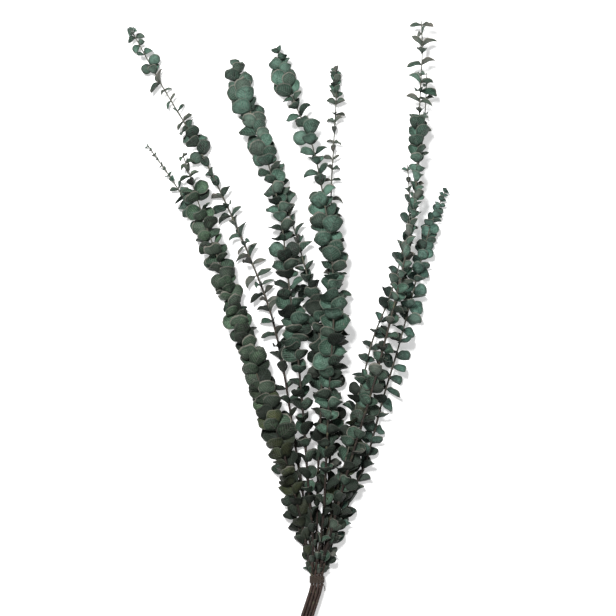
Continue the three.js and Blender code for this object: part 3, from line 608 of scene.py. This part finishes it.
def twig_radius(mark, nodes, length, number):
    """Tapers to a rounded tip, and swells at each node and at two knobs above the cut."""
    radius = mix(TWIG_AT_TIE, TWIG_AT_TIP, min(mark / length, 1))
    radius = radius * (1 + TWIG_WAVE * math.sin(mark * 0.11 + number))
    gap = np.abs(nodes - mark).min()
    radius *= 1 + NODE_SWELL * math.exp(-(gap / NODE_REACH) ** 2)
    for place, spread, key in KNOB_PLACES:
        gap = mark - (place + spread * chance(number, key))
        radius *= 1 + KNOB_SWELL * math.exp(-(gap / KNOB_REACH) ** 2)
    return radius if mark < length else radius * 0.45


def twig_object(name, run, pairs, number, materials):
    nodes = np.array([pair["distance"] for pair in pairs])
    marks = twig_marks(nodes, run.length)
    frames = [run.frame(min(m, run.length)) for m in marks]
    centres = [f["centre"] + f["along"] * max(m - run.length, 0) for f, m in zip(frames, marks)]
    radii = [twig_radius(m, nodes, run.length, number) for m in marks]
    points, faces = tube(centres, [f["right"] for f in frames], [f["top"] for f in frames],
                         lambda i: circle(TWIG_SIDES, radii[i]))
    slant = around(0.0, CUT_SLANT, chance(number, CUT_DRAW))
    cut = points[:TWIG_SIDES]
    cut += np.multiply.outer((cut - centres[0]) @ frames[0]["right"] * slant, frames[0]["along"])
    place = np.zeros((len(points), 3))
    place[:, 0] = np.repeat(marks, TWIG_SIDES)
    place[:, 1] = np.tile(np.arange(TWIG_SIDES) / TWIG_SIDES, len(marks))
    place[:, 2] = np.repeat(np.minimum(marks / run.length, 1), TWIG_SIDES)
    face_material = np.zeros(len(faces), dtype=np.int32)
    face_material[-2] = 1
    return mesh_object(name, points, faces, {"twig_place": place}, materials, face_material)


# Materials.

def linear(r, g, b):
    """A colour given as a screen shows it, 0 to 255, as the shader takes it."""
    parts = [c / 255 for c in (r, g, b)]
    return tuple(c / 12.92 if c <= 0.04045 else ((c + 0.055) / 1.055) ** 2.4 for c in parts) + (1.0,)


LEAF_COLOURS = {
    "leaf_green": (linear(8, 18, 12), linear(43, 70, 57), linear(80, 111, 97)),
    "leaf_olive": (linear(9, 17, 10), linear(42, 64, 46), linear(74, 100, 74)),
    "leaf_teal": (linear(11, 25, 20), linear(46, 77, 67), linear(86, 120, 108)),
}
OLIVE, VEIN, VEIN_UNDER = linear(68, 74, 38), linear(112, 132, 120), linear(126, 124, 120)
UNDERSIDE, UNDERSIDE_PALE, MAUVE = linear(62, 84, 72), linear(96, 98, 90), linear(104, 92, 90)
# The inner edge colour is painted shade inside the rim; the rim colour is a dried border and partly a
# painted highlight.
# The leaf root colour is painted shade at each leaf's base, close to the stem.
PAINTED_RIM_SHADE, DRIED_RIM_AND_HIGHLIGHT, SPECK, PAINTED_ROOT_SHADE = (
    linear(26, 42, 34), linear(124, 118, 110), linear(150, 160, 146), linear(12, 18, 14))
BARK_OLD, BARK_YOUNG = (
    (linear(15, 11, 10), linear(66, 50, 43)), (linear(46, 46, 40), linear(92, 94, 82)))
BARK_SHADED, BARK_GREEN, BARK_PORE = linear(16, 14, 12), linear(88, 92, 66), linear(124, 104, 88)
CUT_WOOD = (linear(150, 128, 92), linear(196, 176, 136))
TWINE, TWINE_PATCH = (linear(24, 19, 16), linear(70, 58, 48)), linear(64, 50, 44)


class Shader:
    """A material whose nodes are made one call each."""

    def __init__(self, name, **constants):
        self.material = bpy.data.materials.new(name)
        self.material.use_nodes = True
        self.tree = self.material.node_tree
        self.surface = self.tree.nodes["Principled BSDF"]
        self.finish(**constants)

    def add(self, kind, inputs=None, out=0, **settings):
        node = self.tree.nodes.new("ShaderNode" + kind)
        for key, value in settings.items():
            setattr(node, key, value)
        for key, value in (inputs or {}).items():
            self.put(value, node.inputs[key])
        return node.outputs[out]

    def put(self, value, socket):
        if isinstance(value, bpy.types.NodeSocket):
            self.tree.links.new(value, socket)
        else:
            socket.default_value = value

    def math(self, operation, a, b=0.0, clamp=False):
        return self.add("Math", {0: a, 1: b}, operation=operation, use_clamp=clamp)

    def times(self, a, b):
        return self.math("MULTIPLY", a, b)

    def sway(self, noise, amount):
        """Noise about one half, as an amount about zero."""
        return self.times(self.math("SUBTRACT", noise, 0.5), amount)

    def mix(self, share, low, high):
        return self.add("Mix", {0: share, 6: low, 7: high}, out=2, data_type="RGBA")

    def ramp(self, value, low, high, start=0.0, end=1.0):
        """A value between low and high mapped smoothly to start and end."""
        return self.add("MapRange", {0: value, 1: low, 2: high, 3: start, 4: end},
                        interpolation_type="SMOOTHSTEP")

    def noise(self, scale, detail=3.0, roughness=0.5, stretch=(1, 1, 1)):
        place = self.add("TexCoord", out="Object")
        place = self.add("Mapping", {"Vector": place, "Scale": stretch})
        return self.add("TexNoise", {"Vector": place, "Scale": scale, "Detail": detail,
                                     "Roughness": roughness})

    def place(self, attribute):
        """A point attribute as a vector, and its three parts."""
        vector = self.add("Attribute", attribute_name=attribute, out="Vector")
        return vector, *self.add("SeparateXYZ", {0: vector}).node.outputs

    def bump(self, height, distance, strength, normal=None):
        inputs = {"Height": height, "Distance": distance, "Strength": strength}
        if normal is not None:
            inputs["Normal"] = normal
        return self.add("Bump", inputs)

    def finish(self, **sockets):
        for key, value in sockets.items():
            self.put(value, self.surface.inputs[key.replace("_", " ")])
        return self.material


def leaf_veins(shader, place, across, along, mottle):
    """A midrib and side veins that leave it toward the tip, and a fine net between them."""
    aside = shader.math("ABSOLUTE", across)
    rib_width = shader.ramp(along, 0.0, 1.0, 0.05, 0.012)
    midrib = shader.math("SUBTRACT", 1.0, shader.math("DIVIDE", aside, rib_width), clamp=True)
    midrib = shader.times(midrib, shader.ramp(along, 0.75, 1.0, 1.0, 0.0))
    sweep = shader.math("ADD", along, shader.sway(mottle, 0.12))
    sweep = shader.math("SUBTRACT", sweep, shader.times(aside, 0.42))
    wave = shader.math("PINGPONG", shader.times(sweep, 6.5), 0.5)
    side_veins = shader.ramp(wave, 0.0, 0.16, 1.0, 0.0)
    side_veins = shader.times(side_veins, shader.ramp(aside, 0.6, 0.95, 1.0, 0.0))
    veins = shader.math("MAXIMUM", midrib, shader.times(side_veins, 0.7))
    net_place = shader.add("Mapping", {"Vector": place, "Scale": (16, 26, 0)})
    net = shader.add("TexVoronoi", {"Vector": net_place, "Scale": 1.0}, feature="DISTANCE_TO_EDGE",
                     voronoi_dimensions="2D")
    return veins, shader.ramp(net, 0.0, 0.12, 1.0, 0.0)


def leaf_material(name, dark, middle, light):
    shader = Shader(name, Specular_IOR_Level=0.2, Sheen_Weight=0.02, Sheen_Roughness=0.6)
    ramp, mix_in, times = shader.ramp, shader.mix, shader.times
    place, across, along, radial = shader.place("leaf_place")
    tint = shader.add("Attribute", attribute_name="leaf_tint", out="Color")
    shade, olive, under = shader.add("SeparateColor", {0: tint}).node.outputs
    mauve = tint.node.outputs["Alpha"]
    mottle = shader.noise(120, 4, 0.6)
    crumple = shader.noise(420, 3, 0.6)
    grain = shader.noise(1400, 3, 0.6)
    veins, net = leaf_veins(shader, place, across, along, mottle)

    # The blade: dark to light by its tint's lightness, which holds painted shade on deep and low
    # leaves, and in blotches, and olive in patches.
    blotches = shader.math("ADD", shader.sway(mottle, 1.1), shader.sway(crumple, 1.1))
    tone = shader.math("ADD", shade, blotches, clamp=True)
    colour = mix_in(ramp(tone, 0.0, 0.55), dark, middle)
    colour = mix_in(ramp(tone, 0.5, 1.05), colour, light)
    colour = mix_in(times(olive, ramp(mottle, 0.3, 0.6, 0.55, 1.0)), colour, OLIVE)
    vein_colour = mix_in(under, VEIN, VEIN_UNDER)
    colour = mix_in(times(net, 0.16), colour, vein_colour)
    colour = mix_in(times(veins, ramp(shade, 0.0, 0.5, 0.38, 0.6)), colour, vein_colour)

    # The underside is greyer, and whole leaves turn mauve and brown in patches. A dark band just
    # inside the rim is painted shade of the raised edge; the light rim is partly a dried mauve border,
    # partly a painted highlight where that edge catches the light.
    grey = mix_in(mottle, UNDERSIDE, UNDERSIDE_PALE)
    colour = mix_in(times(under, ramp(mauve, 0.1, 1.0, 0.0, 0.6)), colour, grey)
    patches = times(ramp(mauve, 0.7, 1.0, 0.0, 0.6), ramp(mottle, 0.4, 0.65, 0.35, 1.0))
    colour = mix_in(patches, colour, MAUVE)
    # Painted shade: a dark band just inside the rim, for the shade of the raised edge.
    painted_rim_shade_mask = times(ramp(radial, 0.62, 0.86), ramp(crumple, 0.35, 0.6, 0.2, 0.55))
    colour = mix_in(painted_rim_shade_mask, colour, PAINTED_RIM_SHADE)
    # The light rim: partly a dried mauve border, partly a painted highlight on the raised edge.
    rim = ramp(shader.math("ADD", radial, shader.sway(mottle, 0.2)), 0.87, 0.97)
    rim = times(rim, ramp(crumple, 0.3, 0.6, 0.3, 1.0))
    rim = times(rim, ramp(shade, 0.0, 0.5, 0.45, 1.0))
    colour = mix_in(times(rim, ramp(mauve, 0.0, 0.6, 0.3, 0.8)), colour, DRIED_RIM_AND_HIGHLIGHT)
    colour = mix_in(times(ramp(grain, 0.62, 0.72), 0.12), colour, SPECK)
    # Painted shade: leaves with a dark tint, mostly deep and low ones, are pulled further toward the
    # dark colour.
    colour = mix_in(ramp(shade, 0.0, 0.35, 0.55, 0.0), colour, dark)
    # Painted shade at each leaf's base, close to the stem.
    colour = mix_in(ramp(along, 0.0, 0.45, 0.5, 0.0), colour, PAINTED_ROOT_SHADE)

    # Veins are sunk on the top and stand out below, and the rest of the blade is crumpled.
    height = shader.math("ADD", times(veins, 0.7), times(net, 0.12))
    height = times(height, ramp(under, 0.0, 1.0, -1.0, 1.0))
    normal = shader.bump(height, 0.00035, 0.7)
    normal = shader.bump(ramp(radial, 0.8, 1.0), 0.0006, 0.8, normal)
    normal = shader.bump(crumple, 0.0014, 0.7, normal)
    normal = shader.bump(grain, 0.00008, 0.5, normal)
    rough = ramp(mottle, 0.3, 0.7, 0.52, 0.72)
    return shader.finish(Base_Color=colour, Roughness=rough, Normal=normal)


def bark_material():
    """Old dark bark near the cut, shaded among the leaves, and young bark toward the tip."""
    shader = Shader("stem_bark", Specular_IOR_Level=0.3)
    ramp, mix_in, share = shader.ramp, shader.mix, shader.place("twig_place")[3]
    streaks = shader.noise(900, 4, 0.6, (1, 0.06, 1))
    blotch = shader.noise(160, 3, 0.5)
    old = mix_in(ramp(streaks, 0.3, 0.7), *BARK_OLD)
    young = mix_in(streaks, *BARK_YOUNG)
    colour = mix_in(ramp(share, 0.25, 0.9), old, young)
    among_leaves = shader.times(ramp(share, 0.09, 0.13), ramp(share, 0.3, 0.6, 1.0, 0.0))
    colour = mix_in(shader.times(among_leaves, 0.6), colour, BARK_SHADED)
    colour = mix_in(ramp(blotch, 0.55, 0.75, 0.0, 0.5), colour, BARK_GREEN)
    pores = ramp(shader.noise(1500, 1, 0.5, (1, 0.5, 1)), 0.66, 0.72)
    colour = mix_in(shader.times(pores, 0.3), colour, BARK_PORE)
    return shader.finish(Base_Color=colour, Roughness=ramp(streaks, 0.2, 0.8, 0.55, 0.8),
                         Normal=shader.bump(streaks, 0.0002, 0.7))


def cut_material():
    shader = Shader("cut_wood", Specular_IOR_Level=0.2)
    grain = shader.noise(1800, 3, 0.6)
    return shader.finish(Base_Color=shader.mix(grain, *CUT_WOOD),
                         Roughness=shader.ramp(grain, 0.2, 0.8, 0.7, 0.9),
                         Normal=shader.bump(grain, 0.0001, 0.5))


def twine_material():
    shader = Shader("twine", Specular_IOR_Level=0.2, Sheen_Weight=0.2, Sheen_Roughness=0.5)
    fibre = shader.noise(1600, 4, 0.7, (1, 0.25, 0.6))
    patch = shader.noise(300, 2, 0.5)
    colour = shader.mix(fibre, *TWINE)
    colour = shader.mix(shader.ramp(patch, 0.4, 0.7, 0.0, 0.4), colour, TWINE_PATCH)
    return shader.finish(Base_Color=colour, Roughness=shader.ramp(fibre, 0.2, 0.8, 0.75, 0.95),
                         Normal=shader.bump(fibre, 0.0003, 0.8))


# The tie: twine wound round the bundle, a knot on top, a loose end and a stub.

HALF_WIDTH = SLOT_PITCH * (SLOT_COLUMNS - 1) / 2 + RADIUS_AT_TIE + TIE_FIT
HALF_HEIGHT = SLOT_PITCH * (SLOT_ROWS - 1) / 2 + RADIUS_AT_TIE + TIE_FIT
TIE_MIDDLE = HALF_HEIGHT + TIE_WALL

# Routes over the tie, as (x, y, height over the wound twine).
LOOSE_END = [(-3.4, 3.6, -0.5), (-1.5, 2.6, 0.35), (1.2, 0.8, 0.5), (3.9, -1.2, 0.5), (5.6, -2.4, 0.9),
             (6.3, -1.3, 1.3), (5.6, -0.2, 1.2), (4.9, -1.4, 1.0), (5.9, -3.0, 0.6), (7.6, -5.2, 0.2),
             (8.8, -8.2, -0.2), (9.6, -11.0, -0.9), (9.4, -13.4, -1.6)]
STUB = [(6.6, -3.4, 0.3), (5.6, -2.2, 1.5), (4.6, -1.0, 1.5), (4.2, 0.8, 0.7), (4.9, 2.6, 0.4),
        (6.3, 4.2, 0.3)]


def bundle_point(turn, out):
    """A point at a part of a turn round the bundle, out from its outline: (x, z)."""
    width, height, corner = HALF_WIDTH + out, HALF_HEIGHT + out, RADIUS_AT_TIE + TIE_FIT + out
    flat_x, flat_z = width - corner, height - corner
    arc = corner * math.pi / 2
    lengths = [2 * flat_x, arc, 2 * flat_z, arc] * 2
    left = (turn % 1.0) * sum(lengths)
    corners = [(flat_x, flat_z, 90), (flat_x, -flat_z, 0), (-flat_x, -flat_z, -90),
               (-flat_x, flat_z, 180)]
    starts = [(-flat_x, height), (width, flat_z), (flat_x, -height), (-width, -flat_z)]
    ways = [(1, 0), (0, -1), (-1, 0), (0, 1)]
    for k, length in enumerate(lengths):
        if left <= length:
            break
        left -= length
    if k % 2 == 0:
        (x, z), (dx, dz) = starts[k // 2], ways[k // 2]
        return x + dx * left, z + dz * left
    x, z, begin = corners[k // 2]
    angle = math.radians(begin) - left / corner
    return x + corner * math.cos(angle), z + corner * math.sin(angle)


def twine_mesh(path, radius):
    """A two-ply twine along a path: two lobes that turn round each other."""
    path = np.array(path)
    along = np.gradient(path, axis=0)
    along /= np.linalg.norm(along, axis=1)[:, None]
    rights, tops = [], []
    top = unit(np.cross(np.cross(along[0], [0.3, 0.2, 0.9]), along[0]))
    for way in along:
        top = unit(top - way * (top @ way))
        rights.append(np.cross(way, top))
        tops.append(top)
    walked = np.concatenate([[0], np.cumsum(np.linalg.norm(np.diff(path, axis=0), axis=1))])
    angle = np.arange(TWINE_SIDES) * 2 * math.pi / TWINE_SIDES

    def outline(i):
        size = radius * (0.74 + 0.26 * np.abs(np.cos(angle - walked[i] / TWINE_TWIST * math.pi)))
        return circle(TWINE_SIDES, size * 0.6 if i in (0, len(path) - 1) else size)
    return tube(path, rights, tops, outline)


def loose_mesh(route, top):
    """Twine along a route of points over the tie, on a smooth curve."""
    points = [np.array([x, y, top + z]) for x, y, z in route]
    length = sum(np.linalg.norm(b - a) for a, b in zip(points, points[1:]))
    count = max(int(length / LOOSE_STEP), 8)
    path = [curve_point(points, k / count) for k in range(count + 1)]
    return twine_mesh(path, TWINE_RADIUS * LOOSE_TWINE)


def make_tie(material):
    path = []
    for k in range(int(TWINE_TURNS * TURN_STEPS) + 1):
        turn = k / TURN_STEPS
        x, z = bundle_point(turn + TWINE_START, TWINE_RADIUS - TWINE_SUNK)
        y = -TIE_LENGTH / 2 + TWINE_MARGIN + (TIE_LENGTH - 2 * TWINE_MARGIN) * turn / TWINE_TURNS
        y += TWINE_WANDER * math.sin(turn * 9.2) * math.sin(turn * 2.1)
        path.append((x, y, TIE_MIDDLE + z))
    top = TIE_MIDDLE + HALF_HEIGHT + 2 * TWINE_RADIUS
    points, faces, total = [], [], 0
    meshes = [twine_mesh(path, TWINE_RADIUS), loose_mesh(LOOSE_END, top), loose_mesh(STUB, top)]
    for mesh_points, mesh_faces in meshes:
        points.append(mesh_points)
        faces += [tuple(i + total for i in face) for face in mesh_faces]
        total += len(mesh_points)
    made = mesh_object("tie_twine", np.concatenate(points), faces, {}, [material])
    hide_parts("tie_band")


# Make the bunch.

tie_low, tie_high = (np.array(corner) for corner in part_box("tie_band"))
origin = np.array([tie_low[0] + (HALF_WIDTH + TIE_WALL) * MM, tie_high[1] - TIE_LENGTH / 2 * MM, 0.0])


def is_solid(pair, pairs):
    return pair["number"] % BUILT_EVERY == 0 or pair["number"] >= len(pairs) - TIP_PAIRS


def grow_leaves(runs, all_pairs):
    """The leaves of each stem, and how many cross something. Pairs that are solid too come first."""
    crowd = Crowd(runs)
    grown = [[] for _ in runs]
    crossed = 0
    for want_solid in (True, False):
        for number, pairs in enumerate(all_pairs):
            for pair in [pair for pair in pairs if is_solid(pair, pairs) == want_solid]:
                for side in (0, 1):
                    leaf, found = settle(pair, number, side, crowd)
                    if leaf is not None:
                        grown[number].append(leaf)
                        crossed += found > 0
    return grown, crossed


leaf_materials = {name: leaf_material(name, *colours) for name, colours in LEAF_COLOURS.items()}
bark, cut_wood = bark_material(), cut_material()
runs = [Run(stem) for stem in STEMS]
all_pairs = [leaf_pairs(stem, run, number) for number, (stem, run) in enumerate(zip(STEMS, runs))]
grown, crossed = grow_leaves(runs, all_pairs)
for number, (stem, run, pairs) in enumerate(zip(STEMS, runs, all_pairs)):
    node, slot = f"leafy_stem_{number + 1:02d}", stem["slot_name"]
    leaves = leaves_object(f"leaves_{number + 1:02d}", grown[number], stem, [leaf_materials[slot]])
    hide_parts(node)
    twig = twig_object(f"twig_{number + 1:02d}", run, pairs, number, [bark, cut_wood])
    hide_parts(node)
make_tie(twine_material())
print("LEAVES", sum(len(leaves) for leaves in grown), "crossing", crossed)


# Floor, light and camera.

FLOOR_HALF, FLOOR_DROP, FLOOR_TONE, FLOOR_GLOW = 4.0, 0.0003, 0.85, 0.4
WORLD_LIGHT = 0.22
VIEW_WIDTH, VIEW_DISTANCE, VIEW_END, FILM_WIDTH = 0.7392, 3.0, 50, 36.0
VIEW_CENTRE = (-0.0108, 0.3264, 0.015)


def add_floor():
    mesh = bpy.data.meshes.new("floor")
    corners = [(x * FLOOR_HALF, y * FLOOR_HALF, 0) for x, y in ((-1, -1), (1, -1), (1, 1), (-1, 1))]
    mesh.from_pydata(corners, [], [(0, 1, 2, 3)])
    floor = add_object("floor", mesh)
    floor.location.z = -FLOOR_DROP
    shader = Shader("floor", Specular_IOR_Level=0.0, Roughness=1.0, Emission_Strength=FLOOR_GLOW,
                    Emission_Color=(1, 1, 1, 1), Base_Color=(FLOOR_TONE, FLOOR_TONE, FLOOR_TONE, 1))
    mesh.materials.append(shader.material)


def add_area_light(name, place, size, watts):
    """A round light that is turned to the origin."""
    light = bpy.data.lights.new(name, "AREA")
    light.shape = "DISK"
    light.size = size
    light.energy = watts
    made = add_object(name, light)
    made.location = place
    made.rotation_euler = (-Vector(place)).to_track_quat("-Z", "Y").to_euler()


def add_world():
    world = bpy.data.worlds.new("studio")
    world.use_nodes = True
    background = world.node_tree.nodes["Background"]
    background.inputs["Color"].default_value = (1, 1, 1, 1)
    background.inputs["Strength"].default_value = WORLD_LIGHT
    bpy.context.scene.world = world


def add_camera():
    """Looks straight down on the bunch, with 1.2 mm to a pixel of the 616 across."""
    data = bpy.data.cameras.new("camera")
    data.sensor_width = FILM_WIDTH
    data.lens = FILM_WIDTH * VIEW_DISTANCE / VIEW_WIDTH
    data.clip_end = VIEW_END
    camera = add_object("camera", data)
    x, y, z = VIEW_CENTRE
    camera.location = (origin[0] + x, origin[1] + y, VIEW_DISTANCE + z)
    bpy.context.scene.camera = camera


add_floor()
add_area_light("key", place=(-0.5, 0.9, 2.0), size=0.6, watts=83)
add_area_light("fill", place=(0.9, -0.6, 1.8), size=1.8, watts=5)
add_world()
add_camera()
bpy.context.scene.view_settings.view_transform = "Standard"
